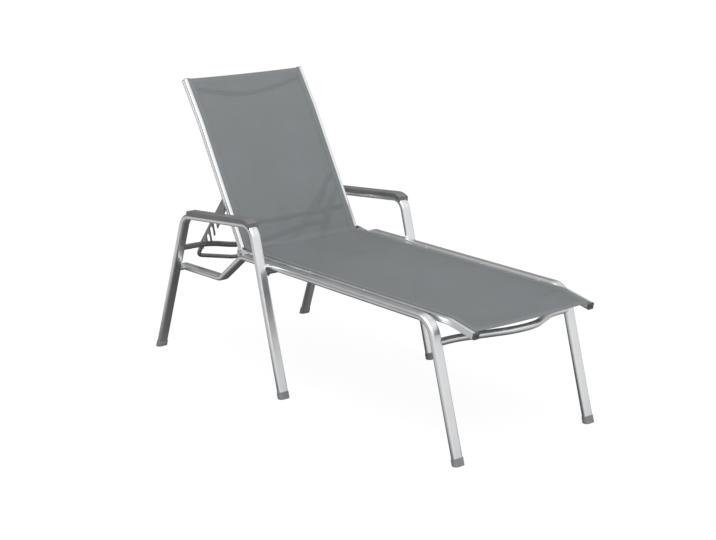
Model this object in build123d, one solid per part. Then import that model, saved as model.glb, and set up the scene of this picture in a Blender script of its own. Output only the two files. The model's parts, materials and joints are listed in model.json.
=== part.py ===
from build123d import *
import math
import os

# Stacking sun lounger with a reclining back, a textile sling and toothed rack supports.
# Millimetres. While it is being drawn the origin is below the backrest hinge, on the floor:
# +X runs towards the foot end, +Y is the left side, +Z is up. The finished pieces are moved
# along X so that the origin ends below the middle of the overall box.

# Stance: where the legs meet the floor, how they lean, and the planes of the bent side tubes
rear_foot_x = -403.0
rear_leg_lean = 0.342
middle_foot_x = 332.0
middle_leg_lean = 0.289
end_foot_x = 1124.0
end_leg_lean = 0.30
arm_plane_y = 333.0
seat_plane_y = 287.0
hinge_height = 421.0

# Flat-oval aluminium tube of the arm frames and seat frames
tube_width = 38.0
tube_depth = 20.0
tube_corner = 9.0
tube_wall = 1.5
tube_end_height = 8.0

# Arm frames, one inverted U on each side: heights above the hinge, and the two bends
arm_rear_rise = 100.0
arm_front_rise = 139.0
arm_rear_radius = 55.0
arm_front_radius = 48.0

# Seat frames: foot leg, long run, joggle down behind the hinge, brace to the rear arm leg
seat_tube_rise = 2.0
seat_bend_radius = 65.0
joggle_top_x = 56.0
joggle_bottom_x = -72.0
joggle_radius = 42.0
brace_front_drop = 101.0
brace_rear_drop = 107.0
brace_overlap = 16.0

# Plastic boots on the six feet
cap_height = 22.0
cap_wall = 1.9
cap_edge = 1.2

# Armrest pads
pad_width = 42.0
pad_height = 15.0
pad_skirt = 4.0
pad_round = 5.0
pad_rear_x = -191.0
pad_nose_x = 171.0
pad_wrap_angle = 55.0
pad_screw_rear_x = -150.0
pad_screw_front_x = 84.0
pad_screw_shank = 4.5
pad_screw_head = 9.0
pad_screw_head_height = 2.4
pad_screw_bite = 8.0

# Extruded sling rails with a welt channel in the top face
rail_plane_y = 248.0
rail_width = 24.0
rail_height = 22.0
rail_corner = 3.5
rail_wall = 1.9
welt_bore = 7.2
welt_slot = 2.6
welt_shift = 2.0
welt_roof = 1.6
cavity_height = 8.0
side_groove_height = 3.0
side_groove_depth = 1.2
rail_hinge_gap = 14.0
seat_rail_bend_x = 1035.0
seat_rail_end_x = 1142.0
seat_rail_droop = 11.0
seat_rail_radius = 110.0
back_angle = 60.0
back_straight_length = 484.0
back_top_length = 163.0
back_top_turn = 4.0
back_rail_radius = 600.0

# Plastic end plugs of the rails
foot_plug_thickness = 6.0
back_plug_thickness = 3.0
plug_stub_length = 14.0
plug_edge = 2.0
plug_hole = 4.0
plug_hole_depth = 2.0

# Textile sling, held in the welt channels by a bead along each edge
sling_thickness = 1.4
sling_gap = 0.3
sling_sag = 5.0
sling_flat_edge = 3.0
bead_diameter = 5.0
sling_start = 15.0
sling_foot_margin = 4.0
sling_top_margin = 0.5

# Bowed cross tubes
foot_tube_diameter = 24.0
foot_tube_drop = 66.0
foot_tube_bow_x = 88.0
foot_tube_bow_z = 15.0
foot_tube_reach = 206.0
foot_tube_crest = 46.0
spreader_diameter = 19.0
spreader_wall = 1.5
seat_spreader_before_bend = 27.0
seat_spreader_drop = 2.0
seat_spreader_bow = 45.0
spreader_reach = 212.0
spreader_crest = 60.0
top_spreader_below_top = 41.0
top_spreader_bow_along = 26.0
top_spreader_bow_behind = 16.0
lower_spreader_along = 97.0
lower_spreader_bow_behind = 13.0
mid_tube_diameter = 18.0
mid_tube_x = 190.0
mid_tube_below_rail = 3.0
mid_tube_overhang = 12.0
rod_diameter = 20.0
rod_drop = 26.0
rod_bow = 29.0
rod_reach = 209.0
rod_crest = 81.0
bend_share = 0.9

# Saddles that seat the mid cross tube under the seat frames
saddle_length = 32.0
saddle_width = 26.0
saddle_bolt = 6.0
saddle_bolt_head = 11.0
saddle_bolt_head_height = 4.0

# Bolts, threaded inserts and spacers where the arm frames meet the seat frames
bolt_diameter = 8.0
bolt_head_diameter = 15.0
bolt_head_height = 3.6
insert_diameter = 11.0
insert_length = 12.0
insert_inset = 1.6
spacer_diameter = 19.0

# Tabs under the sling rails, welded to the seat frames, each with one screw
tab_places_x = (376.0, 647.0, 911.0)
tab_length = 26.0
tab_thickness = 4.0
tab_reach = 20.0
tab_web_height = 19.0
rail_screw_shank = 4.2
rail_screw_head = 8.0
rail_screw_head_height = 2.2
rail_screw_inset = 4.6

# Backrest hinge
hinge_pin_diameter = 10.0
hinge_head_diameter = 17.0
hinge_head_height = 4.0
hinge_tail_diameter = 15.0
hinge_tail_height = 2.5
hinge_plate_thickness = 5.0
hinge_plate_radius = 18.0
hinge_plate_tail_radius = 10.0
hinge_plate_length = 54.0
hinge_rivet_diameter = 5.0
hinge_rivet_head = 10.0
hinge_rivet_head_height = 2.0
hinge_rivet_depth = 6.0
knuckle_radius = 10.4
knuckle_inset = 4.0
knuckle_stub_length = 20.0

# Toothed racks that prop the back on the rear cross rod, and the bail between them
rack_plane_y = 228.0
rack_thickness = 5.0
rack_pivot_along = 224.0
rack_rest_slope = 56.3
rack_flat_slope = 8.5
rack_eye_radius = 10.0
rack_end_past_rod = 21.1
rack_neck_edge = 7.0
rack_shoulder_length = 18.0
rack_tooth_edge = 22.5
rack_block_before_tip = 83.0
rack_heel_width = 28.0
rack_waist_width = 13.0
rack_waist_along = 46.0
rack_toe_edge = -2.0
last_tip_past_rod = 0.2
tooth_pitch = 36.7
tooth_count = 4
notch_width = 22.0
upper_notch_edge = -3.0
notch_lean = 50.0
rack_pin_diameter = 8.0
rack_pin_head = 14.0
rack_pin_head_height = 3.0
rack_pin_stub = 6.0
rack_pin_stub_length = 5.4
bail_diameter = 15.0
bail_offset = -15.0
bail_leg = 45.0
bail_bow = 50.0
bail_crest = 50.0
bail_corner_radius = 26.0
bail_bow_radius = 150.0
travel_steps_degrees = (0, 2, 4, 6, 8, 10, 12, 15, 18)

# Fits
seat_gap = 0.1
running_gap = 0.08
side_gap = 0.3
rod_travel_gap = 0.6
cut_overrun = 30.0

# Places worked out from the sizes above
rear_leg = (rear_foot_x, rear_leg_lean)
middle_leg = (middle_foot_x, -middle_leg_lean)
end_leg = (end_foot_x, -end_leg_lean)
arm_rear_height = hinge_height + arm_rear_rise
arm_front_height = hinge_height + arm_front_rise
seat_tube_height = hinge_height + seat_tube_rise
brace_front_height = hinge_height - brace_front_drop
brace_rear_height = hinge_height - brace_rear_drop
foot_tube_height = hinge_height - foot_tube_drop
rod_height = hinge_height - rod_drop
seat_spreader_x = seat_rail_bend_x - seat_spreader_before_bend
top_spreader_along = back_straight_length + back_top_length - top_spreader_below_top
rail_top = rail_height / 2
bore_radius = welt_bore / 2
bore_height = rail_top - welt_roof - bore_radius
arm_inner_y = arm_plane_y - tube_width / 2
arm_outer_y = arm_plane_y + tube_width / 2
seat_inner_y = seat_plane_y - tube_width / 2
seat_outer_y = seat_plane_y + tube_width / 2
rail_inner_y = rail_plane_y - rail_width / 2
rail_outer_y = rail_plane_y + rail_width / 2
back_slope = math.radians(back_angle)
back_along = Vector(-math.cos(back_slope), 0, math.sin(back_slope))
back_front = Vector(math.sin(back_slope), 0, math.cos(back_slope))
top_slope = back_slope - math.radians(back_top_turn)
top_along = Vector(-math.cos(top_slope), 0, math.sin(top_slope))
hinge_point = Vector(0, 0, hinge_height)
insert_start_y = arm_inner_y + insert_inset
insert_end_y = insert_start_y + insert_length


def leg_x(leg, height):
    """Centre line of a leg at a height above the floor."""
    foot_x, lean = leg
    return foot_x + lean * height


def leg_point(leg, height):
    return (leg_x(leg, height), height)


def on_back(along):
    """Point on the back rails' centre line, measured from the hinge."""
    straight = min(along, back_straight_length)
    return hinge_point + back_along * straight + top_along * (along - straight)


def side_path(points, radii):
    """Bent centre line in the plane y = 0, from (x, z) points."""
    return Plane.XZ * FilletPolyline(*points, radius=radii)


def start_plane(path):
    """Section plane at the start of a side path: local x is +Y, local y is across the path."""
    return Plane(origin=path @ 0, x_dir=(0, 1, 0), z_dir=path % 0)


def sweep_side(path, section):
    return sweep(start_plane(path) * section, path=path)


def both_sides(piece):
    """The left piece as drawn and its mirror image on the right."""
    return piece, mirror(piece, about=Plane.XZ)


def pair(piece):
    """Left and right copies kept as separate solids of one node."""
    left, right = both_sides(piece)
    return Compound(children=[*left.solids(), *right.solids()])


def group(pieces):
    return Compound(children=[solid for piece in pieces for solid in piece.solids()])


def rod_between(start, end, diameter):
    """Round bar from one point to another."""
    run = Vector(*end) - Vector(*start)
    return extrude(Plane(origin=start, z_dir=run.normalized()) * Circle(diameter / 2), amount=run.length)


def across(x, z, y_from, y_to, diameter):
    """Round bar along Y."""
    return rod_between((x, y_from, z), (x, y_to, z), diameter)


# Flat-oval tubes
tube_outside = RectangleRounded(tube_width, tube_depth, tube_corner)
tube_inside = RectangleRounded(tube_width - 2 * tube_wall, tube_depth - 2 * tube_wall, tube_corner - tube_wall)
tube_envelope = RectangleRounded(tube_width + 2 * seat_gap, tube_depth + 2 * seat_gap, tube_corner + seat_gap)

arm_path = side_path(
    [
        leg_point(rear_leg, tube_end_height),
        leg_point(rear_leg, arm_rear_height),
        leg_point(middle_leg, arm_front_height),
        leg_point(middle_leg, tube_end_height),
    ],
    [arm_rear_radius, arm_front_radius],
)
brace_end_x = leg_x(rear_leg, brace_rear_height) - brace_overlap
seat_path = side_path(
    [
        leg_point(end_leg, tube_end_height),
        leg_point(end_leg, seat_tube_height),
        (joggle_top_x, seat_tube_height),
        (joggle_bottom_x, brace_front_height),
        (brace_end_x, brace_rear_height),
    ],
    [seat_bend_radius, joggle_radius, joggle_radius],
)
arm_envelope = Pos(0, arm_plane_y, 0) * sweep_side(arm_path, tube_envelope)
seat_envelope = Pos(0, seat_plane_y, 0) * sweep_side(seat_path, tube_envelope)

# Bolted crossings of each arm frame and seat frame: (x, z)
crossings = (
    leg_point(middle_leg, seat_tube_height),
    leg_point(rear_leg, brace_rear_height),
)


def arm_run_point(x, above=0.0):
    """Point at an offset square to the straight armrest run."""
    x_rear, z_rear = leg_point(rear_leg, arm_rear_height)
    x_front, z_front = leg_point(middle_leg, arm_front_height)
    run = Vector(x_front - x_rear, 0, z_front - z_rear).normalized()
    rise = (x - x_rear) * run.Z / run.X
    return Vector(x, arm_plane_y, z_rear + rise) + Vector(-run.Z, 0, run.X) * above


def pad_screws(diameter_extra=0.0, with_heads=True):
    """Screws that hold a pad, driven up through the armrest tube."""
    under = -tube_depth / 2
    top = tube_depth / 2 + pad_screw_bite
    pieces = []
    for x in (pad_screw_rear_x, pad_screw_front_x):
        screw = rod_between(arm_run_point(x, under), arm_run_point(x, top), pad_screw_shank + diameter_extra)
        if with_heads:
            head_end = arm_run_point(x, under - pad_screw_head_height)
            screw += rod_between(arm_run_point(x, under), head_end, pad_screw_head)
        pieces.append(screw)
    return pieces


def arm_frame():
    tube = Pos(0, arm_plane_y, 0) * sweep_side(arm_path, tube_outside - tube_inside)
    insert_hole = insert_diameter + 2 * seat_gap
    for x, z in crossings:
        tube -= across(x, z, arm_inner_y - cut_overrun, arm_plane_y, insert_hole)
    for hole in pad_screws(2 * seat_gap, with_heads=False):
        tube -= hole
    return tube


def armrest_pad():
    """Pad that follows the tube over the front bend and ends there in an upright face."""
    x_rear, z_rear = leg_point(rear_leg, arm_rear_height)
    x_front, z_front = leg_point(middle_leg, arm_front_height)
    run = Vector(x_front - x_rear, z_front - z_rear).normalized()
    leg_down = Vector(middle_leg_lean, -1).normalized()
    turn = math.acos(run.dot(leg_down))
    bend_start = Vector(x_front, z_front) - run * (arm_front_radius * math.tan(turn / 2))
    rear_end = Vector(x_rear, z_rear) + run * ((pad_rear_x - x_rear) / run.X)
    straight = Line(rear_end, bend_start)
    nose = JernArc(bend_start, run, arm_front_radius, -pad_wrap_angle)
    path = Plane.XZ * Wire([straight.edge(), nose.edge()])
    bottom = tube_depth / 2 - pad_skirt
    outline = Pos(0, bottom + pad_height / 2) * RectangleRounded(pad_width, pad_height, pad_round)
    lower_half = Pos(0, bottom + pad_height / 4) * Rectangle(pad_width, pad_height / 2)
    section = outline + lower_half
    pad = Pos(0, arm_plane_y, 0) * sweep_side(path, section)
    beyond = Box(arm_front_radius * 2, pad_width * 2, arm_front_rise, align=(Align.MIN, Align.CENTER, Align.CENTER))
    pad -= Pos(pad_nose_x, arm_plane_y, arm_front_height) * beyond
    pad -= arm_envelope
    for hole in pad_screws(2 * seat_gap, with_heads=False):
        pad -= hole
    return pad


def seat_frame():
    tube = Pos(0, seat_plane_y, 0) * sweep_side(seat_path, tube_outside - tube_inside)
    bolt_hole = bolt_diameter + 2 * seat_gap
    for x, z in crossings:
        tube -= across(x, z, seat_inner_y - cut_overrun, seat_outer_y + cut_overrun, bolt_hole)
    return tube - saddle_bolt_shank(saddle_bolt + 2 * seat_gap)


def brace_plug():
    """Plastic plug in the rear end of a seat frame tube."""
    end = Plane(origin=seat_path @ 1, x_dir=(0, 1, 0), z_dir=seat_path % 1)
    inside = RectangleRounded(
        tube_width - 2 * tube_wall - 2 * seat_gap,
        tube_depth - 2 * tube_wall - 2 * seat_gap,
        tube_corner - tube_wall - seat_gap,
    )
    disc = extrude(end * tube_outside, amount=cap_wall)
    stub_length = brace_overlap - bolt_diameter
    return Pos(0, seat_plane_y, 0) * (disc + extrude(end * inside, amount=-stub_length))


def foot_cap(leg, plane_y):
    """Boot over a leg's end, cut flat where it stands on the floor."""
    foot_x, lean = leg
    axis = Vector(lean, 0, 1).normalized()
    floor_plane = Plane(origin=(foot_x, plane_y, 0), x_dir=(0, 1, 0), z_dir=axis)
    grow = 2 * (cap_wall + seat_gap)
    outside = RectangleRounded(tube_width + grow, tube_depth + grow, tube_corner + grow / 2)
    boot = extrude(floor_plane * outside, amount=cap_height) + extrude(floor_plane * outside, amount=-tube_depth)
    boot = chamfer(boot.faces().sort_by(Axis.Z)[-1].outer_wire().edges(), cap_edge)
    tube_start = Plane(origin=(leg_x(leg, tube_end_height), plane_y, tube_end_height), x_dir=(0, 1, 0), z_dir=axis)
    boot -= extrude(tube_start * tube_envelope, amount=cap_height)
    return split(boot, bisect_by=Plane.XY, keep=Keep.TOP)


# Sling rails
def rail_section():
    """Rounded box with a welt channel in the top, a cavity below it and a groove outside."""
    section = RectangleRounded(rail_width, rail_height, rail_corner)
    section -= Pos(-welt_shift, bore_height) * Circle(bore_radius)
    slot_height = rail_top - bore_height
    section -= Pos(-welt_shift, bore_height + slot_height) * Rectangle(welt_slot, 2 * slot_height)
    section -= cavity_outline(0.0)
    section -= Pos(rail_width / 2, 0) * Rectangle(2 * side_groove_depth, side_groove_height)
    return section


def cavity_outline(gap):
    height = -rail_top + rail_wall + cavity_height / 2
    corner = rail_wall / 2
    return Pos(0, height) * RectangleRounded(
        rail_width - 2 * rail_wall - 2 * gap, cavity_height - 2 * gap, corner
    )


def seat_rail_line(start_x, end_x):
    """Centre line of a seat rail, with its droop at the foot end."""
    droop = math.tan(math.radians(seat_rail_droop))
    return side_path(
        [
            (start_x, hinge_height),
            (seat_rail_bend_x, hinge_height),
            (end_x, hinge_height - (end_x - seat_rail_bend_x) * droop),
        ],
        seat_rail_radius,
    )


def back_rail_line(start, end_margin):
    """Centre line of a back rail, from near the hinge to the top."""
    whole = back_straight_length + back_top_length
    points = [on_back(along) for along in (start, back_straight_length, whole - end_margin)]
    return side_path([(p.X, p.Z) for p in points], back_rail_radius)


def flipped(section):
    """Section for a path along which local y points behind the back."""
    return mirror(section, about=Plane.XZ)


seat_rail_path = seat_rail_line(rail_hinge_gap, seat_rail_end_x)
back_rail_path = back_rail_line(rail_hinge_gap, 0.0)


def rail_screw_y():
    return rail_outer_y - rail_screw_inset


def seat_rail():
    rail = Pos(0, rail_plane_y, 0) * sweep_side(seat_rail_path, rail_section())
    for x in tab_places_x:
        low = (x, rail_screw_y(), hinge_height - rail_height)
        high = (x, rail_screw_y(), hinge_height + rail_height)
        rail -= rod_between(low, high, rail_screw_shank + 2 * seat_gap)
    rivet_x = hinge_plate_length
    depth_y = rail_outer_y - hinge_rivet_depth - seat_gap
    rail -= across(rivet_x, hinge_height, depth_y, rail_outer_y + cut_overrun, hinge_rivet_diameter + 2 * seat_gap)
    return rail


def back_rail():
    rail = Pos(0, rail_plane_y, 0) * sweep_side(back_rail_path, flipped(rail_section()))
    pivot = on_back(rack_pivot_along)
    hole_end = rail_inner_y + rack_pin_stub_length + seat_gap
    rail -= across(pivot.X, pivot.Z, rail_inner_y - cut_overrun, hole_end, rack_pin_stub + 2 * seat_gap)
    return rail


def rail_plug(path, thickness, flip):
    """Plug with a rounded flange that closes a rail's free end, and a small drain hole."""
    end = Plane(origin=path @ 1, x_dir=(0, 1, 0), z_dir=path % 1)
    flange = extrude(end * RectangleRounded(rail_width, rail_height, rail_corner), amount=thickness)
    outer_face = max(flange.faces(), key=lambda face: (face.center() - end.origin).dot(end.z_dir))
    flange = fillet(outer_face.outer_wire().edges(), plug_edge)
    outline = flipped(cavity_outline(seat_gap)) if flip else cavity_outline(seat_gap)
    plug = flange + extrude(end * outline, amount=-plug_stub_length)
    hole_plane = end.offset(thickness - plug_hole_depth)
    plug -= extrude(hole_plane * Circle(plug_hole / 2), amount=cut_overrun)
    return Pos(0, rail_plane_y, 0) * plug


# Slings
def sling_section():
    """Sheet between the rails, sagging in the middle, with a web and a bead at each edge."""
    low = rail_top + sling_gap
    high = low + sling_thickness
    slot_y = rail_plane_y - welt_shift
    edge_y = slot_y + sling_thickness / 2
    free_y = rail_inner_y - sling_flat_edge
    outline = [
        Line((-edge_y, high), (-free_y, high)),
        ThreePointArc((-free_y, high), (0, high - sling_sag), (free_y, high)),
        Line((free_y, high), (edge_y, high)),
        Line((edge_y, high), (edge_y, low)),
        Line((edge_y, low), (free_y, low)),
        ThreePointArc((free_y, low), (0, low - sling_sag), (-free_y, low)),
        Line((-free_y, low), (-edge_y, low)),
        Line((-edge_y, low), (-edge_y, high)),
    ]
    section = make_face(Wire([line.edge() for line in outline]))
    web_height = high - bore_height
    for side in (-1, 1):
        web = Pos(side * slot_y, bore_height + web_height / 2) * Rectangle(sling_thickness, web_height)
        section += web + Pos(side * slot_y, bore_height) * Circle(bead_diameter / 2)
    return section


def seat_sling():
    path = seat_rail_line(sling_start, seat_rail_end_x - sling_foot_margin)
    return sweep_side(path, sling_section())


def back_sling():
    path = back_rail_line(sling_start, sling_top_margin)
    return sweep_side(path, flipped(sling_section()))


# Cross tubes
def bowed_path(end_x, end_z, half_span, bow_x, bow_z, reach, crest):
    """Line across the lounger, straight at its ends and bowed between them."""
    bow = math.hypot(bow_x, bow_z)
    plane = Plane(origin=(end_x, 0, end_z), x_dir=(0, 1, 0), z_dir=(bow_z, 0, -bow_x))
    turn = math.atan2(bow, reach - crest)
    slope_length = math.hypot(bow, reach - crest)
    room = min(half_span - reach, slope_length / 2, crest)
    radius = bend_share * room / math.tan(turn / 2)
    points = [(-half_span, 0), (-reach, 0), (-crest, bow), (crest, bow), (reach, 0), (half_span, 0)]
    return plane * FilletPolyline(*points, radius=radius)


def round_tube(path, diameter, wall):
    section = Circle(diameter / 2)
    if wall:
        section -= Circle(diameter / 2 - wall)
    return sweep(Plane(origin=path @ 0, z_dir=path % 0) * section, path=path)


def foot_cross_tube():
    end_x = leg_x(end_leg, foot_tube_height)
    half_span = seat_inner_y + tube_corner
    path = bowed_path(
        end_x, foot_tube_height, half_span, foot_tube_bow_x, foot_tube_bow_z, foot_tube_reach, foot_tube_crest
    )
    tube = round_tube(path, foot_tube_diameter, tube_wall)
    left, right = both_sides(seat_envelope)
    return tube - left - right


def rear_cross_rod():
    end_x = leg_x(rear_leg, rod_height)
    path = bowed_path(end_x, rod_height, arm_inner_y + tube_corner, 0.0, -rod_bow, rod_reach, rod_crest)
    left, right = both_sides(arm_envelope)
    return round_tube(path, rod_diameter, 0.0) - left - right


def seat_spreader():
    end_z = hinge_height - seat_spreader_drop
    path = bowed_path(
        seat_spreader_x, end_z, rail_inner_y, 0.0, -seat_spreader_bow, spreader_reach, spreader_crest
    )
    return round_tube(path, spreader_diameter, spreader_wall)


def back_spreader(along, bow_along, bow_behind):
    middle = on_back(along)
    bow = back_along * -bow_along - back_front * bow_behind
    path = bowed_path(middle.X, middle.Z, rail_inner_y, bow.X, bow.Z, spreader_reach, spreader_crest)
    return round_tube(path, spreader_diameter, spreader_wall)


mid_tube_z = hinge_height - rail_height / 2 - mid_tube_below_rail - mid_tube_diameter / 2
mid_tube_end_y = seat_plane_y + mid_tube_overhang


def mid_cross_tube():
    """Straight tube under the seat, closed at its ends, with the saddle bolts through it."""
    tube = across(mid_tube_x, mid_tube_z, -mid_tube_end_y, mid_tube_end_y, mid_tube_diameter)
    bore = mid_tube_diameter - 2 * tube_wall
    tube -= across(mid_tube_x, mid_tube_z, -mid_tube_end_y + tube_wall, mid_tube_end_y - tube_wall, bore)
    for bolt in both_sides(saddle_bolt_shank(saddle_bolt + 2 * seat_gap)):
        tube -= bolt
    return tube


def saddle_bolt_shank(diameter):
    low = (mid_tube_x, seat_plane_y, mid_tube_z - mid_tube_diameter / 2 - seat_gap)
    high = (mid_tube_x, seat_plane_y, seat_tube_height - tube_depth / 2 + tube_wall + seat_gap)
    return rod_between(low, high, diameter)


def saddle():
    """Block that fills the step between the cross tube and the seat frame above it."""
    block_height = seat_tube_height - mid_tube_z
    block = Box(saddle_length, saddle_width, block_height, align=(Align.CENTER, Align.CENTER, Align.MIN))
    block = Pos(mid_tube_x, seat_plane_y, mid_tube_z) * block
    block -= across(mid_tube_x, mid_tube_z, 0, arm_plane_y, mid_tube_diameter + 2 * seat_gap)
    block -= seat_envelope
    block -= saddle_bolt_shank(saddle_bolt + 2 * seat_gap)
    kept = block.solids().sort_by(Axis.Z)[0]
    return Part(kept.wrapped)


def saddle_bolt_piece():
    low_z = mid_tube_z - mid_tube_diameter / 2 - seat_gap
    start = (mid_tube_x, seat_plane_y, low_z)
    end = (mid_tube_x, seat_plane_y, low_z - saddle_bolt_head_height)
    head = rod_between(start, end, saddle_bolt_head)
    return saddle_bolt_shank(saddle_bolt) + head


# Fasteners between arm frames and seat frames
def frame_bolt(x, z):
    """Bolt driven from the inner side of a seat frame into the insert of the arm frame."""
    shank = across(x, z, seat_inner_y, insert_end_y, bolt_diameter)
    head = across(x, z, seat_inner_y - bolt_head_height, seat_inner_y, bolt_head_diameter)
    rim = head.faces().sort_by(Axis.Y)[0].edges()
    return shank + chamfer(rim, bolt_head_height / 2)


def frame_nut(x, z):
    """Threaded insert in the inner wall of an arm frame's tube."""
    sleeve = across(x, z, insert_start_y, insert_end_y, insert_diameter)
    bore = bolt_diameter + 2 * seat_gap
    return sleeve - across(x, z, insert_start_y - cut_overrun, insert_end_y + cut_overrun, bore)


def frame_spacer(x, z):
    """Bush with concave ends that hug the rounded sides of both tubes."""
    bush = across(x, z, seat_outer_y - tube_corner, arm_inner_y + tube_corner, spacer_diameter)
    bush -= across(x, z, seat_inner_y, arm_outer_y, bolt_diameter + 2 * seat_gap)
    bush = bush - seat_envelope - arm_envelope
    middle_y = (seat_outer_y + arm_inner_y) / 2
    kept = min(bush.solids(), key=lambda solid: abs(solid.center().Y - middle_y))
    return Part(kept.wrapped)


# Rail tabs and screws
def rail_tab(x):
    top_z = hinge_height - rail_height / 2 - side_gap
    leg_y = rail_screw_y() - tab_reach / 2
    web_y = rail_outer_y + side_gap + seat_gap
    leg = Pos(x, leg_y, top_z - tab_thickness) * Box(
        tab_length, web_y + tab_thickness - leg_y, tab_thickness, align=(Align.CENTER, Align.MIN, Align.MIN)
    )
    web = Pos(x, web_y, top_z - tab_thickness) * Box(
        tab_length, seat_inner_y + tab_thickness - web_y, tab_web_height, align=(Align.CENTER, Align.MIN, Align.MIN)
    )
    hole = rod_between(
        (x, rail_screw_y(), top_z - tab_thickness - cut_overrun),
        (x, rail_screw_y(), top_z + cut_overrun),
        rail_screw_shank + 2 * seat_gap,
    )
    return leg + web - seat_envelope - hole


def rail_screw(x):
    y = rail_screw_y()
    rail_z = hinge_height + rail_height / 2
    low_z = hinge_height - rail_height / 2 - side_gap - tab_thickness
    shank = rod_between((x, y, low_z), (x, y, rail_z), rail_screw_shank)
    head = rod_between((x, y, rail_z), (x, y, rail_z + rail_screw_head_height), rail_screw_head)
    return shank + chamfer(head.faces().sort_by(Axis.Z)[-1].edges(), rail_screw_head_height / 2)


# Backrest hinge
plate_inner_y = rail_outer_y + side_gap
plate_outer_y = plate_inner_y + hinge_plate_thickness
knuckle_inner_y = rail_inner_y + knuckle_inset


def hinge_plate():
    """Tapering plate on the outside of the seat rail that carries the pivot."""
    shape = make_hull(
        Circle(hinge_plate_radius).edges()
        + (Pos(hinge_plate_length, 0) * Circle(hinge_plate_tail_radius)).edges()
    )
    shape -= Circle(hinge_pin_diameter / 2 + seat_gap)
    shape -= Pos(hinge_plate_length, 0) * Circle(hinge_rivet_diameter / 2 + seat_gap)
    plane = Plane(origin=(0, plate_inner_y, hinge_height), x_dir=(1, 0, 0), z_dir=(0, -1, 0))
    return extrude(plane * shape, amount=-hinge_plate_thickness)


def hinge_pin():
    """Riveted pivot pin with a head outside and a formed tail inside."""
    head_y = plate_outer_y + seat_gap
    tail_y = knuckle_inner_y - side_gap
    shank = across(0, hinge_height, tail_y, head_y, hinge_pin_diameter)
    head = across(0, hinge_height, head_y, head_y + hinge_head_height, hinge_head_diameter)
    head = chamfer(head.faces().sort_by(Axis.Y)[-1].edges(), hinge_head_height / 3)
    tail = across(0, hinge_height, tail_y - hinge_tail_height, tail_y, hinge_tail_diameter)
    return shank + head + tail


def hinge_plate_rivet():
    x = hinge_plate_length
    shank = across(x, hinge_height, rail_outer_y - hinge_rivet_depth, plate_outer_y, hinge_rivet_diameter)
    top_y = plate_outer_y + hinge_rivet_head_height
    return shank + across(x, hinge_height, plate_outer_y, top_y, hinge_rivet_head)


def hinge_knuckle():
    """Block plugged into the back rail's lower end, turning on the hinge pin."""
    width = rail_outer_y - knuckle_inner_y
    plane = Plane(origin=(0, knuckle_inner_y, hinge_height), x_dir=back_along, z_dir=(0, 1, 0))
    eye = Circle(knuckle_radius)
    neck = Pos(rail_hinge_gap / 2, 0) * Rectangle(rail_hinge_gap, 2 * knuckle_radius)
    body = extrude(plane * (eye + neck), amount=width)
    stub_start = Plane(
        origin=on_back(rail_hinge_gap) + Vector(0, rail_plane_y, 0), x_dir=(0, 1, 0), z_dir=back_along
    )
    stub_outline = flipped(cavity_outline(seat_gap))
    body += extrude(stub_start * stub_outline, amount=knuckle_stub_length)
    body -= across(0, hinge_height, knuckle_inner_y - cut_overrun, rail_outer_y + cut_overrun,
                   hinge_pin_diameter + 2 * running_gap)
    return body


# Racks and bail
rack_pivot = on_back(rack_pivot_along)
rack_turn = back_angle + rack_rest_slope - rack_flat_slope
rod_x = leg_x(rear_leg, rod_height)


def rack_axes(slope_degrees):
    """Unit vectors along the rack and towards its teeth, for a slope below -X."""
    slope = math.radians(slope_degrees)
    along = Vector(-math.cos(slope), 0, -math.sin(slope))
    toothward = Vector(math.sin(slope), 0, -math.cos(slope))
    return along, toothward


def rod_in_rack(back_turn):
    """Rear rod's centre in the rack's own (along, toothward) place when the back has turned down."""
    lowered = math.radians(back_angle - back_turn)
    pivot = hinge_point + Vector(-math.cos(lowered), 0, math.sin(lowered)) * rack_pivot_along
    rack_lift = back_turn * (rack_turn / back_angle - 1)
    along, toothward = rack_axes(rack_rest_slope - rack_lift)
    arm = Vector(rod_x, 0, rod_height) - pivot
    return arm.dot(along), arm.dot(toothward)


def rod_travel():
    """Room that the rod needs as the rack leaves it."""
    room = None
    width = rod_diameter + 2 * rod_travel_gap
    places = [rod_in_rack(turn) for turn in travel_steps_degrees]
    for (u0, w0), (u1, w1) in zip(places, places[1:]):
        step = math.hypot(u1 - u0, w1 - w0)
        bearing = math.degrees(math.atan2(w1 - w0, u1 - u0))
        piece = Pos((u0 + u1) / 2, (w0 + w1) / 2) * Rot(0, 0, bearing) * SlotCenterToCenter(step, width)
        room = piece if room is None else room + piece
    return room


seated_along, seated_edge = rod_in_rack(0)
last_tip_along = seated_along + last_tip_past_rod
first_tip_along = last_tip_along - (tooth_count - 1) * tooth_pitch
rack_tooth_start = first_tip_along - rack_block_before_tip
rack_neck_length = rack_tooth_start - rack_shoulder_length
rack_length = seated_along + rack_end_past_rod


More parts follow.
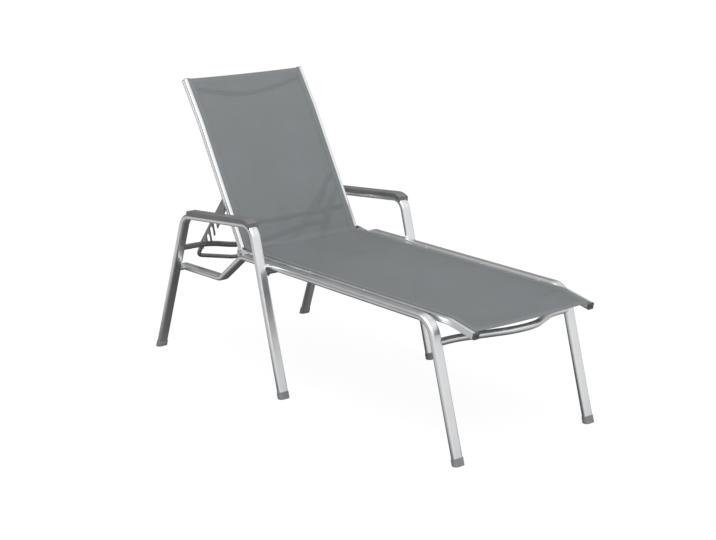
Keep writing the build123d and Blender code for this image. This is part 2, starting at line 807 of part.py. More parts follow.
def rack_outline():
    """Side view of a rack: eye, neck, toothed block with slanted notches, and heel."""
    plate = make_face(
        Polyline(
            (0, -rack_eye_radius),
            (rack_waist_along, -rack_waist_width),
            (rack_length, -rack_heel_width),
            (rack_length, rack_toe_edge),
            (last_tip_along + notch_width / 2, rack_tooth_edge),
            (rack_tooth_start, rack_tooth_edge),
            (rack_neck_length, rack_neck_edge),
            (0, rack_eye_radius),
            close=True,
        )
    )
    plate += Circle(rack_eye_radius)
    lean = math.radians(notch_lean)
    notch_reach = 2 * (rack_tooth_edge - seated_edge) / math.sin(lean)
    root_back = (rack_tooth_edge - upper_notch_edge) / math.tan(lean)
    roots = [(first_tip_along + (k + 0.5) * tooth_pitch - root_back, upper_notch_edge) for k in range(tooth_count - 1)]
    for root in roots + [(seated_along, seated_edge)]:
        notch = Pos(notch_reach / 2, 0) * SlotCenterToCenter(notch_reach, notch_width)
        plate -= Pos(*root) * Rot(0, 0, notch_lean) * notch
    beyond = Pos(seated_along, seated_edge) * Rot(0, 0, notch_lean) * (
        Pos(notch_reach / 2, -notch_width) * Rectangle(notch_reach, 2 * notch_width)
    )
    toe_limit = Pos(rack_length, rack_toe_edge + rack_tooth_edge) * Rectangle(rack_length, 2 * rack_tooth_edge)
    plate -= beyond & toe_limit
    plate -= rod_travel()
    plate -= Circle(rack_pin_diameter / 2 + running_gap)
    return plate


def rack():
    along, _ = rack_axes(rack_rest_slope)
    origin = rack_pivot + Vector(0, rack_plane_y + rack_thickness / 2, 0)
    plane = Plane(origin=origin, x_dir=along, z_dir=(0, -1, 0))
    plate = extrude(plane * rack_outline(), amount=rack_thickness)
    return Part(max(plate.solids(), key=lambda solid: solid.volume).wrapped)


def rack_pin():
    """Shouldered pin on the inner side of a back rail that a rack hangs from."""
    x, z = rack_pivot.X, rack_pivot.Z
    plate_in = rack_plane_y - rack_thickness / 2 - side_gap
    plate_out = rack_plane_y + rack_thickness / 2 + side_gap
    head = across(x, z, plate_in - rack_pin_head_height, plate_in, rack_pin_head)
    shank = across(x, z, plate_in, plate_out, rack_pin_diameter)
    collar = across(x, z, plate_out, rail_inner_y, rack_pin_head)
    stub = across(x, z, rail_inner_y, rail_inner_y + rack_pin_stub_length, rack_pin_stub)
    return head + shank + collar + stub


def rack_bail():
    """Rod that joins the racks' lower ends, bowed away from them in the middle."""
    along, toothward = rack_axes(rack_rest_slope)
    plane = Plane(origin=rack_pivot + toothward * bail_offset, x_dir=(0, 1, 0), z_dir=Vector(0, 1, 0).cross(along))
    leg_end = rack_length + bail_leg
    points = [
        (rack_plane_y, rack_length),
        (rack_plane_y, leg_end),
        (bail_crest, leg_end + bail_bow),
        (-bail_crest, leg_end + bail_bow),
        (-rack_plane_y, leg_end),
        (-rack_plane_y, rack_length),
    ]
    radii = [bail_corner_radius, bail_bow_radius, bail_bow_radius, bail_corner_radius]
    return round_tube(plane * FilletPolyline(*points, radius=radii), bail_diameter, 0.0)


def build():
    """Every piece of the lounger by node name, in the drawing frame."""
    nodes = {}

    def add_both(name, piece):
        nodes[f"{name}_left"], nodes[f"{name}_right"] = both_sides(piece)

    add_both("arm_frame", arm_frame())
    add_both("armrest_pad", armrest_pad())
    add_both("seat_frame", seat_frame())
    add_both("rear_foot_cap", foot_cap(rear_leg, arm_plane_y))
    add_both("middle_foot_cap", foot_cap(middle_leg, arm_plane_y))
    add_both("end_foot_cap", foot_cap(end_leg, seat_plane_y))
    add_both("seat_rail", seat_rail())
    add_both("back_rail", back_rail())
    add_both("seat_rail_plug", rail_plug(seat_rail_path, foot_plug_thickness, False))
    add_both("back_rail_plug", rail_plug(back_rail_path, back_plug_thickness, True))
    add_both("hinge_plate", hinge_plate())
    add_both("hinge_knuckle", hinge_knuckle())
    add_both("rack", rack())
    nodes["brace_plugs"] = pair(brace_plug())
    nodes["foot_cross_tube"] = foot_cross_tube()
    nodes["mid_cross_tube"] = mid_cross_tube()
    nodes["rear_cross_rod"] = rear_cross_rod()
    nodes["seat_spreader"] = seat_spreader()
    nodes["back_top_spreader"] = back_spreader(top_spreader_along, top_spreader_bow_along, top_spreader_bow_behind)
    nodes["back_lower_spreader"] = back_spreader(lower_spreader_along, 0.0, lower_spreader_bow_behind)
    nodes["rack_bail"] = rack_bail()
    nodes["rack_pins"] = pair(rack_pin())
    nodes["hinge_pins"] = pair(hinge_pin())
    nodes["hinge_plate_rivets"] = pair(hinge_plate_rivet())
    nodes["cross_tube_saddles"] = pair(saddle())
    nodes["saddle_bolts"] = pair(saddle_bolt_piece())
    nodes["frame_bolts"] = group([pair(frame_bolt(x, z)) for x, z in crossings])
    nodes["frame_nuts"] = group([pair(frame_nut(x, z)) for x, z in crossings])
    nodes["frame_spacers"] = group([pair(frame_spacer(x, z)) for x, z in crossings])
    nodes["rail_tabs"] = group([pair(rail_tab(x)) for x in tab_places_x])
    nodes["rail_screws"] = group([pair(rail_screw(x)) for x in tab_places_x])
    nodes["armrest_screws"] = group([pair(screw) for screw in pad_screws()])
    nodes["seat_sling"] = seat_sling()
    nodes["back_sling"] = back_sling()
    return nodes


nodes = build()
boxes = [shape.bounding_box() for shape in nodes.values()]
middle_x = (min(box.min.X for box in boxes) + max(box.max.X for box in boxes)) / 2
os.makedirs("parts", exist_ok=True)
for name, shape in nodes.items():
    export_step(Pos(-middle_x, 0, 0) * shape, f"parts/{name}.step")
print(f"origin lies {middle_x:.3f} mm along X from the hinge; {len(nodes)} nodes")
print(f"rack pivot {rack_pivot.X - middle_x:.3f} {rack_pivot.Z:.3f}, coupled turn {rack_turn / back_angle:.5f}")
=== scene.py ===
import json
import math

import bpy
from mathutils import Matrix, Vector, noise


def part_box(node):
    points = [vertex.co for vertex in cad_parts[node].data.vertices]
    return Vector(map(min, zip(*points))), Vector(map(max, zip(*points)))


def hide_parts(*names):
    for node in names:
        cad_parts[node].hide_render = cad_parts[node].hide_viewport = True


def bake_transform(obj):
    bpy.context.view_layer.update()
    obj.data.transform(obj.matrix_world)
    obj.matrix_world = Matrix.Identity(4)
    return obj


# A stacking sun lounger in a plain white studio. Lengths are in metres. The rigid pieces keep their
# shapes and get their finishes here. The sling is one length of mesh cloth over seat and back, with its
# welt beads and hem stitching.

bpy.context.scene.view_settings.view_transform = "Standard"
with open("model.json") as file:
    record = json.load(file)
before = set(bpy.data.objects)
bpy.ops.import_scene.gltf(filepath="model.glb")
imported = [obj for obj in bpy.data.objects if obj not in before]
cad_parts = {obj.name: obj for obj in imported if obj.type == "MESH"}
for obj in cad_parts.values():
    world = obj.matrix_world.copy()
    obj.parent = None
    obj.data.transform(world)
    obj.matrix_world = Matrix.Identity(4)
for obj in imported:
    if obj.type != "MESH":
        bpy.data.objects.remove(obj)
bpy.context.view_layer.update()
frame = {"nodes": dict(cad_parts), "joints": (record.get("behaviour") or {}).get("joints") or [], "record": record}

# Camera at the photograph's viewing angle, in the 716 x 540 frame: its place ahead of the hinge, to
# the side and over the floor, its angles in degrees, and its lens and sensor in millimetres
camera_from_hinge = (4.2784, -3.3470, 1.7895)
camera_azimuth = 49.812
camera_elevation = 15.182
camera_roll = 0.43
camera_lens = 79.439
camera_sensor = 36.0
camera_reach = 200.0

# Floor: its white for the camera, its grey for the light it throws back, and the glow that metal mirrors,
# with painted shade below the lounger and lighter beyond it. The painted shade fades over a range of
# squared distance, in shares of its size.
floor_half_size = 60.0
floor_white = 0.93
floor_shadow_share = 0.10
floor_colour = 0.72
floor_painted_shade = 0.04
floor_beyond = 0.56
shaded_half_length = 0.95
shaded_half_width = 0.50
shade_edge_shares = (0.8, 4.0)

# Sky: its strength at the front and rear, low and high. The turn and the rise are ranges of direction.
sky_front_low = 0.94
sky_front_high = 1.10
sky_rear_low = 0.22
sky_rear_high = 0.50
sky_turn = (-0.6, 0.6)
sky_rise = (0.30, 0.52)
plain_white = (1.0, 1.0, 1.0, 1.0)

# Lamps: place, aim, size and power in watts
key_lamp = ((1.2, -1.3, 4.3), (0.0, 0.0, 0.4), 4.0, 124.0)
fill_lamp = ((-1.4, 2.2, 3.9), (0.0, 0.0, 0.5), 3.0, 8.0)

# Backrest hinge and rails: two places come from the frame, the other values repeat the source's sizes
hinge = Vector(next(j["pos_m"] for j in frame["joints"] if j["name"] == "backrest_recline"))
back_slope = math.radians(60.0)
slot_y = 0.246
seat_rail_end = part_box("seat_rail_left")[1].x
seat_straight = 1.035
seat_bend_x = hinge.x + seat_straight
seat_droop = math.radians(11.0)
seat_bend_radius = 0.110
back_straight = 0.484
back_top = 0.163
back_turn = math.radians(4.0)
back_bend_radius = 0.600

# Sling cloth. The heights of cloth, web_bottom and welt are measured from the rails' centre line.
cloth_height = 0.012
cloth_thickness = 0.0009
hem_extra = 0.00045
web_thickness = 0.00135
web_bottom = 0.0088
foot_margin = 0.004
top_margin = 0.0005
sag_depth = 0.005
free_half_width = 0.233
on_rail_y = 0.240
web_shoulder_share = 0.1
side_hem = 0.020
end_hem = 0.020
hem_step = 0.0006
inner_columns = 18
edge_fold_radius = 0.012
middle_fold_radius = 0.034
ripple_height = 0.0005
ripples_along = 7.0
ripples_across = 3.0

# Rows of the cloth in its four straight runs and in the three turns between them, from the foot end
run_rows = (12, 64, 42, 14)
turn_rows = (8, 14, 6)

# Welt beads and stitches. A ring of a stitch is a share of its length and one of its radius.
welt_diameter = 0.005
welt_height = 0.0058
welt_sides = 12
seam_inset = 0.003
stitch_pitch = 0.0042
stitch_length = 0.0031
stitch_radius = 0.00036
stitch_lift_share = 0.2
stitch_sides = 6
stitch_ring_shares = ((-0.5, 0.35), (-0.3, 1.0), (0.3, 1.0), (0.5, 0.35))
sharp_angle = math.radians(35)

# Weave. A cover is the share of the cloth's underside that is yarn, and it changes over the hinge.
weave_pitch = 0.0022
hole_edge_shares = (0.30, 0.85)
back_underside_cover = 0.82
seat_underside_cover = 0.94
cover_change_reach = 0.10
yarn_dark = (0.136, 0.149, 0.151)
yarn_light = (0.201, 0.215, 0.219)
tint_green = (0.95, 0.96, 0.95)
tint_violet = (1.03, 1.01, 1.04)
tint_clouds = 6.0
thread_stretch = (30.0, 900.0, 30.0)
cloth_roughness = (0.62, 0.48)
cloth_shine = 0.25
cloth_relief = 0.0003

# Finishes: darker and lighter colour, range of roughness, grains per metre, depth of grain, metallic
finish_clouds = 14.0
thread_finish = ((0.10, 0.11, 0.11), (0.15, 0.16, 0.16), (0.55, 0.70), 2500.0, 0.00010, 0.0)
finishes = {
    "satin_aluminium": ((0.74, 0.75, 0.76), (0.80, 0.81, 0.82), (0.26, 0.40), 1800.0, 0.00003, 1.0),
    "armrest_plastic": ((0.122, 0.123, 0.127), (0.145, 0.146, 0.150), (0.40, 0.58), 1500.0, 0.00012, 0.0),
    "foot_plastic": ((0.185, 0.189, 0.196), (0.225, 0.229, 0.236), (0.45, 0.65), 1300.0, 0.00012, 0.0),
    "plug_plastic": ((0.055, 0.056, 0.058), (0.075, 0.076, 0.078), (0.42, 0.60), 1500.0, 0.00010, 0.0),
    "graphite_steel": ((0.24, 0.24, 0.235), (0.29, 0.29, 0.285), (0.34, 0.48), 1100.0, 0.00006, 0.8),
    "fastener_steel": ((0.42, 0.42, 0.43), (0.52, 0.52, 0.53), (0.28, 0.42), 2200.0, 0.00003, 1.0),
}


# Materials
def new_material(name):
    material = bpy.data.materials.new(name)
    material.use_nodes = True
    tree = material.node_tree
    return material, tree, tree.nodes["Principled BSDF"]


def add_node(tree, kind, **settings):
    node = tree.nodes.new(kind)
    for key, value in settings.items():
        setattr(node, key, value)
    return node


def math_node(tree, operation, *values):
    """A Math node whose inputs are numbers or other nodes' outputs."""
    node = add_node(tree, "ShaderNodeMath", operation=operation)
    for socket, value in zip(node.inputs, values):
        if isinstance(value, (int, float)):
            socket.default_value = value
        else:
            tree.links.new(value, socket)
    return node.outputs[0]


def noise_value(tree, place, scale, detail, stretch=None):
    """Noise at a place, which may be stretched along an axis first."""
    if stretch:
        mapping = add_node(tree, "ShaderNodeMapping")
        mapping.inputs["Scale"].default_value = stretch
        tree.links.new(place, mapping.inputs["Vector"])
        place = mapping.outputs[0]
    node = add_node(tree, "ShaderNodeTexNoise")
    node.inputs["Scale"].default_value = scale
    node.inputs["Detail"].default_value = detail
    tree.links.new(place, node.inputs["Vector"])
    return node.outputs["Fac"]


def between(tree, factor, low, high):
    """Map a 0 to 1 factor onto a range."""
    node = add_node(tree, "ShaderNodeMapRange")
    tree.links.new(factor, node.inputs["Value"])
    node.inputs["To Min"].default_value = low
    node.inputs["To Max"].default_value = high
    return node.outputs["Result"]


def between_range(tree, value, low, high):
    """Map a range onto 0 to 1."""
    node = add_node(tree, "ShaderNodeMapRange")
    tree.links.new(value, node.inputs["Value"])
    node.inputs["From Min"].default_value = low
    node.inputs["From Max"].default_value = high
    return node.outputs["Result"]


def between_values(tree, factor, low, high):
    """Blend of two values by a 0 to 1 factor; each is a number or a node's output."""
    room = math_node(tree, "SUBTRACT", high, low)
    return math_node(tree, "MULTIPLY_ADD", room, factor, low)


def colour_between(tree, factor, first, second, low=0.3, high=0.7):
    """Blend of two colours; the factor counts from low to high."""
    ramp = add_node(tree, "ShaderNodeValToRGB")
    ramp.color_ramp.elements[0].position = low
    ramp.color_ramp.elements[0].color = (*first, 1.0)
    ramp.color_ramp.elements[1].position = high
    ramp.color_ramp.elements[1].color = (*second, 1.0)
    tree.links.new(factor, ramp.inputs["Fac"])
    return ramp.outputs["Color"]


def bump(tree, shader, height, distance):
    node = add_node(tree, "ShaderNodeBump")
    node.inputs["Strength"].default_value = 1.0
    node.inputs["Distance"].default_value = distance
    tree.links.new(height, node.inputs["Height"])
    tree.links.new(node.outputs["Normal"], shader.inputs["Normal"])


def object_place(tree):
    return add_node(tree, "ShaderNodeTexCoord").outputs["Object"]


def surface_material(name, first, second, roughness, grain, depth, metallic):
    """A solid finish with cloudy colour, uneven roughness and a fine surface grain."""
    material, tree, shader = new_material(name)
    place = object_place(tree)
    clouds = noise_value(tree, place, finish_clouds, 3.0)
    speckle = noise_value(tree, place, grain, 2.0)
    shader.inputs["Metallic"].default_value = metallic
    tree.links.new(colour_between(tree, clouds, first, second), shader.inputs["Base Color"])
    worn = math_node(tree, "MULTIPLY", clouds, speckle)
    tree.links.new(between(tree, worn, *roughness), shader.inputs["Roughness"])
    bump(tree, shader, speckle, depth)
    return material


def cloth_material(name, even):
    """Mesh of coated yarn: two-tone weave with small holes, and closed double cloth along the hems.

    The cloth's underside gets an even openness, so that holes never line up in bands.
    """
    material, tree, shader = new_material(name)
    weave_map = add_node(tree, "ShaderNodeUVMap", uv_map="weave")
    parts = add_node(tree, "ShaderNodeSeparateXYZ")
    tree.links.new(weave_map.outputs["UV"], parts.inputs[0])
    along, across = parts.outputs["X"], parts.outputs["Y"]
    turns = math.pi / weave_pitch
    cos_along = math_node(tree, "COSINE", math_node(tree, "MULTIPLY", along, turns))
    cos_across = math_node(tree, "COSINE", math_node(tree, "MULTIPLY", across, turns))
    round_weft = math_node(tree, "MULTIPLY", cos_along, cos_along)
    round_warp = math_node(tree, "MULTIPLY", cos_across, cos_across)
    over = math_node(tree, "MULTIPLY_ADD", math_node(tree, "MULTIPLY", cos_along, cos_across), 0.5, 0.5)
    under = math_node(tree, "SUBTRACT", 1.0, over)
    warp_height = math_node(tree, "MULTIPLY", round_warp, over)
    height = math_node(tree, "MULTIPLY_ADD", round_weft, under, warp_height)

    gap_along = math_node(tree, "SUBTRACT", 1.0, round_weft)
    gap_across = math_node(tree, "SUBTRACT", 1.0, round_warp)
    gap = math_node(tree, "MULTIPLY", gap_along, gap_across)
    hole = add_node(tree, "ShaderNodeMapRange", interpolation_type="SMOOTHSTEP")
    hole.inputs["From Min"].default_value = hole_edge_shares[0]
    hole.inputs["From Max"].default_value = hole_edge_shares[1]
    tree.links.new(gap, hole.inputs["Value"])

    far_across = math_node(tree, "ABSOLUTE", across)
    inside_sides = math_node(tree, "LESS_THAN", far_across, slot_y - side_hem)
    inside_foot = math_node(tree, "GREATER_THAN", along, end_hem)
    inside_top = math_node(tree, "LESS_THAN", along, cloth_length() - end_hem)
    inside_ends = math_node(tree, "MULTIPLY", inside_foot, inside_top)
    open_cloth = math_node(tree, "MULTIPLY", inside_sides, inside_ends)
    change_start = seat_length() - cover_change_reach
    change_end = seat_length() + cover_change_reach
    on_back = between_range(tree, along, change_start, change_end)
    cover = between(tree, on_back, seat_underside_cover, back_underside_cover)
    openness = math_node(tree, "SUBTRACT", 1.0, cover) if even else hole.outputs["Result"]
    open_hole = math_node(tree, "MULTIPLY", open_cloth, openness)
    tree.links.new(math_node(tree, "SUBTRACT", 1.0, open_hole), shader.inputs["Alpha"])

    place = object_place(tree)
    clouds = noise_value(tree, place, tint_clouds, 3.0)
    threads = noise_value(tree, place, 1.0, 2.0, stretch=thread_stretch)
    tone = math_node(tree, "MULTIPLY_ADD", threads, 0.5, math_node(tree, "MULTIPLY", over, 0.5))
    yarn = colour_between(tree, tone, yarn_dark, yarn_light, 0.15, 0.85)
    tint = add_node(tree, "ShaderNodeMix", data_type="RGBA", blend_type="MULTIPLY")
    tint.inputs["Factor"].default_value = 1.0
    tree.links.new(yarn, tint.inputs["A"])
    tree.links.new(colour_between(tree, clouds, tint_green, tint_violet), tint.inputs["B"])
    tree.links.new(tint.outputs["Result"], shader.inputs["Base Color"])
    tree.links.new(between(tree, height, *cloth_roughness), shader.inputs["Roughness"])
    shader.inputs["Specular IOR Level"].default_value = cloth_shine
    bump(tree, shader, height, cloth_relief)
    return material


# Studio and camera
def add_camera():
    azimuth, elevation, roll = (math.radians(a) for a in (camera_azimuth, camera_elevation, camera_roll))
    back = Vector((
        math.sin(azimuth) * math.cos(elevation),
        -math.cos(azimuth) * math.cos(elevation),
        math.sin(elevation),
    ))
    level = (-back).cross(Vector((0, 0, 1))).normalized()
    upright = level.cross(-back)
    right = level * math.cos(roll) + upright * math.sin(roll)
    up = upright * math.cos(roll) - level * math.sin(roll)
    data = bpy.data.cameras.new("camera")
    data.lens = camera_lens
    data.sensor_width = camera_sensor
    data.clip_end = camera_reach
    camera = bpy.data.objects.new("camera", data)
    turn = Matrix((right, up, back)).transposed().to_4x4()
    ahead, aside, height = camera_from_hinge
    camera.matrix_world = Matrix.Translation((hinge.x + ahead, aside, height)) @ turn
    bpy.context.scene.collection.objects.link(camera)
    bpy.context.scene.camera = camera


def add_floor():
    """White floor for the camera and in see-through cloth, with a faint shadow.

    Metal mirrors it with painted shade below the lounger, in place of the lounger's shade, and lighter around it.
    """
    mesh = bpy.data.meshes.new("floor")
    size = floor_half_size
    corners = [(-size, -size, 0), (size, -size, 0), (size, size, 0), (-size, size, 0)]
    mesh.from_pydata(corners, [], [(0, 1, 2, 3)])
    floor = bpy.data.objects.new("floor", mesh)
    bpy.context.scene.collection.objects.link(floor)
    material = bpy.data.materials.new("floor_paint")
    material.use_nodes = True
    tree = material.node_tree
    tree.nodes.clear()
    path = add_node(tree, "ShaderNodeLightPath")
    seen = math_node(tree, "MAXIMUM", path.outputs["Is Camera Ray"], path.outputs["Is Transmission Ray"])
    either = math_node(tree, "MAXIMUM", seen, path.outputs["Is Glossy Ray"])

    glow = add_node(tree, "ShaderNodeEmission")
    glow.inputs["Color"].default_value = plain_white
    place = add_node(tree, "ShaderNodeSeparateXYZ")
    tree.links.new(add_node(tree, "ShaderNodeNewGeometry").outputs["Position"], place.inputs[0])
    ahead = math_node(tree, "DIVIDE", place.outputs["X"], shaded_half_length)
    aside = math_node(tree, "DIVIDE", place.outputs["Y"], shaded_half_width)
    ahead_squared = math_node(tree, "POWER", ahead, 2.0)
    aside_squared = math_node(tree, "POWER", aside, 2.0)
    reach = math_node(tree, "ADD", ahead_squared, aside_squared)
    open_floor = between_range(tree, reach, *shade_edge_shares)
    # Painted shade: the glow that metal mirrors is dimmed below the lounger and lighter beyond it
    mirrored = between(tree, open_floor, floor_painted_shade, floor_beyond)
    tree.links.new(between_values(tree, seen, mirrored, floor_white), glow.inputs["Strength"])
    faint = add_node(tree, "ShaderNodeBsdfDiffuse")
    faint.inputs["Color"].default_value = (floor_shadow_share,) * 3 + (1.0,)
    shown = add_node(tree, "ShaderNodeAddShader")
    tree.links.new(glow.outputs[0], shown.inputs[0])
    tree.links.new(faint.outputs[0], shown.inputs[1])

    paint = add_node(tree, "ShaderNodeBsdfDiffuse")
    paint.inputs["Color"].default_value = (floor_colour,) * 3 + (1.0,)
    mixed = add_node(tree, "ShaderNodeMixShader")
    tree.links.new(either, mixed.inputs[0])
    tree.links.new(paint.outputs[0], mixed.inputs[1])
    tree.links.new(shown.outputs[0], mixed.inputs[2])
    output = add_node(tree, "ShaderNodeOutputMaterial")
    tree.links.new(mixed.outputs[0], output.inputs["Surface"])
    mesh.materials.append(material)


def add_world():
    """White for the camera; for light and reflections a soft dome, brightest high at the front."""
    world = bpy.data.worlds.new("studio")
    bpy.context.scene.world = world
    world.use_nodes = True
    tree = world.node_tree
    tree.nodes.clear()
    direction = add_node(tree, "ShaderNodeTexCoord").outputs["Generated"]
    parts = add_node(tree, "ShaderNodeSeparateXYZ")
    tree.links.new(direction, parts.inputs[0])
    front = between_range(tree, parts.outputs["X"], *sky_turn)
    low = between(tree, front, sky_rear_low, sky_front_low)
    high = between(tree, front, sky_rear_high, sky_front_high)
    rise = between_range(tree, parts.outputs["Z"], *sky_rise)
    dome = add_node(tree, "ShaderNodeBackground")
    tree.links.new(between_values(tree, rise, low, high), dome.inputs["Strength"])
    dome.inputs["Color"].default_value = plain_white
    white = add_node(tree, "ShaderNodeBackground")
    white.inputs["Color"].default_value = plain_white
    path = add_node(tree, "ShaderNodeLightPath")
    seen = math_node(tree, "MAXIMUM", path.outputs["Is Camera Ray"], path.outputs["Is Transmission Ray"])
    mixed = add_node(tree, "ShaderNodeMixShader")
    tree.links.new(seen, mixed.inputs[0])
    tree.links.new(dome.outputs[0], mixed.inputs[1])
    tree.links.new(white.outputs[0], mixed.inputs[2])
    output = add_node(tree, "ShaderNodeOutputWorld")
    tree.links.new(mixed.outputs[0], output.inputs["Surface"])


def add_light(name, place, target, size, power):
    """A soft square lamp."""
    data = bpy.data.lights.new(name, "AREA")
    data.shape = "SQUARE"
    data.size = size
    data.energy = power
    lamp = bpy.data.objects.new(name, data)
    direction = Vector(target) - Vector(place)
    lamp.rotation_euler = direction.to_track_quat("-Z", "Y").to_euler()
    lamp.location = place
    bpy.context.scene.collection.objects.link(lamp)


# Side view of the sling
def side_corners(offset):
    """Corners, as (x, z), of a line over the seat rails and in front of the back rails.

    The offset is its distance from the rails' centre line.
    """
    droop_run = seat_rail_end - foot_margin - seat_bend_x
    foot = Vector((seat_rail_end - foot_margin, hinge.z - droop_run * math.tan(seat_droop)))
    seat_bend = Vector((seat_bend_x, hinge.z))
    corner = Vector((hinge.x, hinge.z))
    up_back = Vector((-math.cos(back_slope), math.sin(back_slope)))
    top_slope = back_slope - back_turn
    up_top = Vector((-math.cos(top_slope), math.sin(top_slope)))
    back_bend = corner + up_back * back_straight
    top = back_bend + up_top * (back_top - top_margin)
    line = [foot, seat_bend, corner, back_bend, top]
    runs = [(b - a).normalized() for a, b in zip(line, line[1:])]
    normals = [Vector((run.y, -run.x)) for run in runs]
    moved = [line[0] + normals[0] * offset]
    for point, before, after in zip(line[1:-1], normals, normals[1:]):
        moved.append(point + (before + after) * (offset / (1 + before.dot(after))))
    moved.append(line[-1] + normals[-1] * offset)
    return moved


def side_line(offset, fold_radius):
    """Rows of the cloth's side view: (point, normal, distance from the foot end)."""
    line = side_corners(offset)
    radii = [seat_bend_radius + offset, fold_radius, back_bend_radius + offset]
    rows = []
    start = line[0]
    for index, radius in enumerate(radii):
        before = (line[index + 1] - line[index]).normalized()
        after = (line[index + 2] - line[index + 1]).normalized()
        turn = before.angle_signed(after)
        reach = radius * math.tan(abs(turn) / 2)
        first = line[index + 1] - before * reach
        side = Vector((before.y, -before.x)) * (1 if turn > 0 else -1)
        centre = first + side * radius
        add_run(rows, start, first, run_rows[index])
        for step in range(turn_rows[index]):
            swing = -turn * step / turn_rows[index]
            arm = -side * radius
            arm.rotate(Matrix.Rotation(swing, 2))
            along = before.copy()
            along.rotate(Matrix.Rotation(swing, 2))
            rows.append((centre + arm, Vector((along.y, -along.x))))
        start = line[index + 1] + after * reach
    add_run(rows, start, line[-1], run_rows[-1])
    last_normal = rows[-1][1]
    rows.append((line[-1], last_normal))
    distance = 0.0
    measured = []
    for index, (point, normal) in enumerate(rows):
        if index:
            distance += (point - rows[index - 1][0]).length
        measured.append((point, normal, distance))
    return measured


def add_run(rows, start, end, count):
    """Evenly spaced rows along a straight run, without its last point."""
    along = (end - start).normalized()
    for step in range(count):
        rows.append((start.lerp(end, step / count), Vector((along.y, -along.x))))


def cloth_length():
    return side_line(cloth_height, edge_fold_radius)[-1][2]


def seat_length():
    """Length of the cloth from the foot end to above the hinge."""
    rows = side_line(cloth_height, edge_fold_radius)
    return min(rows, key=lambda row: abs(row[0].x - hinge.x))[2]


def fold_radius_at(y):
    """Radius of the fold over the hinge: tight at the rails, wider in the middle."""
    share = min(abs(y) / slot_y, 1.0)
    return middle_fold_radius + (edge_fold_radius - middle_fold_radius) * share * share


def sag_at(y):
    """How far the cloth hangs below its edges."""
    share = min(abs(y) / free_half_width, 1.0)
    return sag_depth * (1 - share * share)


def cloth_profile():
    """Closed outline of the cloth across the lounger, as (y, height over the rails' centre line)."""
    hem_edge = slot_y - side_hem
    half = cloth_thickness / 2
    inner = [hem_edge * k / inner_columns for k in range(inner_columns)] + [hem_edge - hem_step]
    hemmed = [hem_edge + hem_step, 0.5 * (hem_edge + free_half_width), free_half_width, on_rail_y]
    upper = [(y, cloth_height + half - sag_at(y)) for y in inner]
    upper += [(y, cloth_height + half + hem_extra - sag_at(y)) for y in hemmed]
    upper += [
        (slot_y + web_thickness * web_shoulder_share, cloth_height + half + hem_extra),
        (slot_y + web_thickness / 2, cloth_height + half),
        (slot_y + web_thickness / 2, web_bottom),
    ]
    lower = [(slot_y - web_thickness / 2, web_bottom), (slot_y - web_thickness / 2, cloth_height - half)]
    lower += [(y, cloth_height - half - hem_extra - sag_at(y)) for y in reversed(hemmed)]
    lower += [(y, cloth_height - half - sag_at(y)) for y in reversed(inner)]
    right_half = upper + lower[:-1]
    mirrored = [(-y, h) for y, h in reversed(upper[1:])]
    mirrored_lower = [(-y, h) for y, h in reversed(lower[:-1])]
    return right_half + [lower[-1]] + mirrored_lower + mirrored


def ripple(x, y, z):
    """Small waves that stretched cloth keeps."""
    fade = 1 - min(abs(y) / free_half_width, 1.0) ** 4
    place = Vector((x * ripples_along, y * ripples_across, z * ripples_along))
    return ripple_height * fade * noise.noise(place)


def cloth_mesh():
    """The sling: its outline carried along the side view, with the underside as its second material."""
    outline = cloth_profile()
    columns = [side_line(h, fold_radius_at(y) + cloth_height - h) for y, h in outline]
    verts, places = [], []
    count = len(columns[0])
    for row in range(count):
        for (y, _), column in zip(outline, columns):
            point, normal, distance = column[row]
            lift = ripple(point.x, y, point.y)
            verts.append((point.x + normal.x * lift, y, point.y + normal.y * lift))
            places.append((distance, y))
    width = len(outline)
    faces = []
    for row in range(count - 1):
        for k in range(width):
            after = (k + 1) % width
            a, b = row * width + k, row * width + after
            faces.append((a, b, b + width, a + width))
    faces.append(tuple(range(width)))
    faces.append(tuple(reversed(range((count - 1) * width, count * width))))
    mesh = bpy.data.meshes.new("sling")
    mesh.from_pydata(verts, [], faces)
    layer = mesh.uv_layers.new(name="weave")
    for loop in mesh.loops:
        layer.data[loop.index].uv = places[loop.vertex_index]
    finish_mesh(mesh)
    under = [k for k in range(width) if is_underside(outline, k)]
    for polygon in mesh.polygons:
        if polygon.index < (count - 1) * width:
            polygon.material_index = int(polygon.index % width in under)
    return mesh


def is_underside(outline, index):
    """Whether the strip from this outline point to the next lies on the cloth's lower face."""
    (y_0, h_0), (y_1, h_1) = outline[index], outline[(index + 1) % len(outline)]
    middle = (h_0 + h_1) / 2 + sag_at((y_0 + y_1) / 2)
    return middle < cloth_height


def finish_mesh(mesh):
    mesh.validate()
    mesh.shade_smooth()
    mesh.set_sharp_from_angle(angle=sharp_angle)


def piece(mesh, material):
    made = bpy.data.objects.new(mesh.name, mesh)
    bpy.context.scene.collection.objects.link(made)
    mesh.materials.append(material)
    return made


def ring_points(centre, side, other, radius, sides):
    """Points of a circle around a centre."""
    angles = [math.tau * k / sides for k in range(sides)]
    return [centre + side * (radius * math.cos(a)) + other * (radius * math.sin(a)) for a in angles]


def add_ring_faces(faces, base, rings, sides):
    """Faces between rings of points, and a face over each end."""
    for ring in range(rings - 1):
        for k in range(sides):
            after = (k + 1) % sides
            a, b = base + ring * sides + k, base + ring * sides + after
            faces.append((a, b, b + sides, a + sides))
    faces.append(tuple(base + k for k in reversed(range(sides))))
    faces.append(tuple(base + (rings - 1) * sides + k for k in range(sides)))


def mesh_from(name, verts, faces):
    mesh = bpy.data.meshes.new(name)
    mesh.from_pydata(verts, [], faces)
    finish_mesh(mesh)
    return mesh


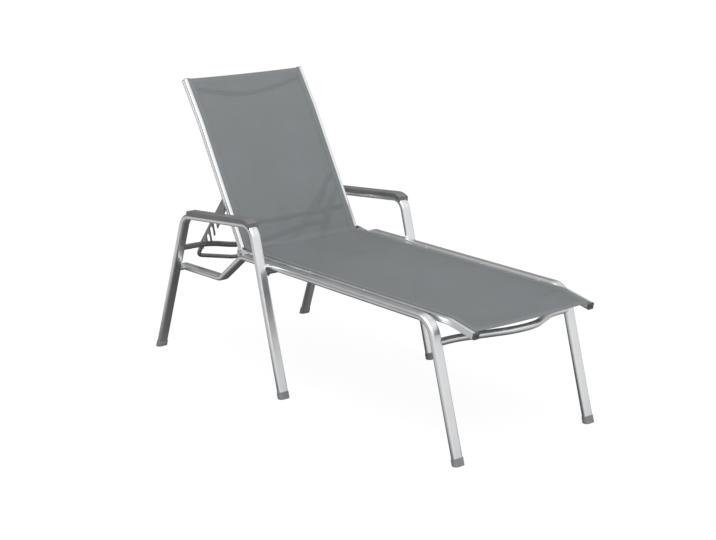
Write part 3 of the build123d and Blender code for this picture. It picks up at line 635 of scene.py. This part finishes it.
def welt_mesh():
    """The bead along each edge of the cloth, in the rails' channels."""
    column = side_line(welt_height, edge_fold_radius + cloth_height - welt_height)
    across = Vector((0, 1, 0))
    verts, faces = [], []
    for sign in (-1, 1):
        base = len(verts)
        points = [Vector((point.x, sign * slot_y, point.y)) for point, _, _ in column]
        for index, point in enumerate(points):
            ahead = points[min(index + 1, len(points) - 1)] - points[max(index - 1, 0)]
            ahead.normalize()
            side = ahead.cross(across)
            side.normalize()
            verts += ring_points(point, side, ahead.cross(side), welt_diameter / 2, welt_sides)
        add_ring_faces(faces, base, len(points), welt_sides)
    return mesh_from("sling_welts", verts, faces)


def stitch_places():
    """Centres and directions of the stitches along the hems."""
    seam_y = slot_y - side_hem + seam_inset
    top = cloth_height + cloth_thickness / 2 + hem_extra
    places = []
    for side in (-1, 1):
        column = side_line(top - sag_at(seam_y), fold_radius_at(seam_y) + cloth_height - top)
        length = column[-1][2]
        count = int((length - end_hem) / stitch_pitch)
        row = 0
        for k in range(count):
            distance = end_hem / 2 + k * stitch_pitch
            while column[row + 1][2] < distance:
                row += 1
            point, normal, start = column[row]
            after, _, end = column[row + 1]
            share = (distance - start) / (end - start)
            middle = point.lerp(after, share)
            along = (after - point).normalized()
            places.append((
                Vector((middle.x, side * seam_y, middle.y)),
                Vector((along.x, 0, along.y)),
                Vector((normal.x, 0, normal.y)),
            ))
    for at_top in (False, True):
        count = int(2 * seam_y / stitch_pitch)
        for k in range(count):
            y = (k - (count - 1) / 2) * stitch_pitch
            column = side_line(cloth_height + cloth_thickness / 2 - sag_at(y), middle_fold_radius)
            row = column[-1] if at_top else column[0]
            inward = (column[-2] if at_top else column[1])[0] - row[0]
            middle = row[0] + inward.normalized() * (end_hem - seam_inset)
            places.append((
                Vector((middle.x, y, middle.y)),
                Vector((0, 1, 0)),
                Vector((row[1].x, 0, row[1].y)),
            ))
    return places


def stitch_mesh():
    """Thread over the hems: short bars, tapered at their ends and partly sunk in the cloth."""
    verts, faces = [], []
    for middle, along, normal in stitch_places():
        base = len(verts)
        lift = normal * (stitch_radius * stitch_lift_share)
        for length_share, radius_share in stitch_ring_shares:
            centre = middle + along * (length_share * stitch_length) + lift
            radius = stitch_radius * radius_share
            verts += ring_points(centre, along.cross(normal), normal, radius, stitch_sides)
        add_ring_faces(faces, base, len(stitch_ring_shares), stitch_sides)
    return mesh_from("sling_stitching", verts, faces)


def blend_reach(obj):
    """Bake a piece's placement into its mesh."""
    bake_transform(obj)


def add_sling():
    sling = piece(cloth_mesh(), cloth_material("sling_mesh_cloth", False))
    sling.data.materials.append(cloth_material("sling_mesh_underside", True))
    thread = surface_material("sewing_thread", *thread_finish)
    welts = piece(welt_mesh(), thread)
    stitching = piece(stitch_mesh(), thread)
    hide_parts("seat_sling", "back_sling")
    for part in (sling, stitching):
        blend_reach(part)
    blend_reach(welts)
    cloth_length()


def finish_cad_nodes():
    """Each carried-over node gets the finish of its material slot; the solids of the sling have none."""
    made = {slot: surface_material(slot, *finish) for slot, finish in finishes.items()}
    slots = {part["node"]: part["material_slot"] for part in frame["record"]["subparts"]}
    for name, node in frame["nodes"].items():
        finish = made.get(slots[name])
        if finish is None:
            continue
        node.data.materials.clear()
        node.data.materials.append(finish)


add_camera()
add_world()
add_floor()
add_light("key_light", *key_lamp)
add_light("fill_light", *fill_lamp)
finish_cad_nodes()
add_sling()
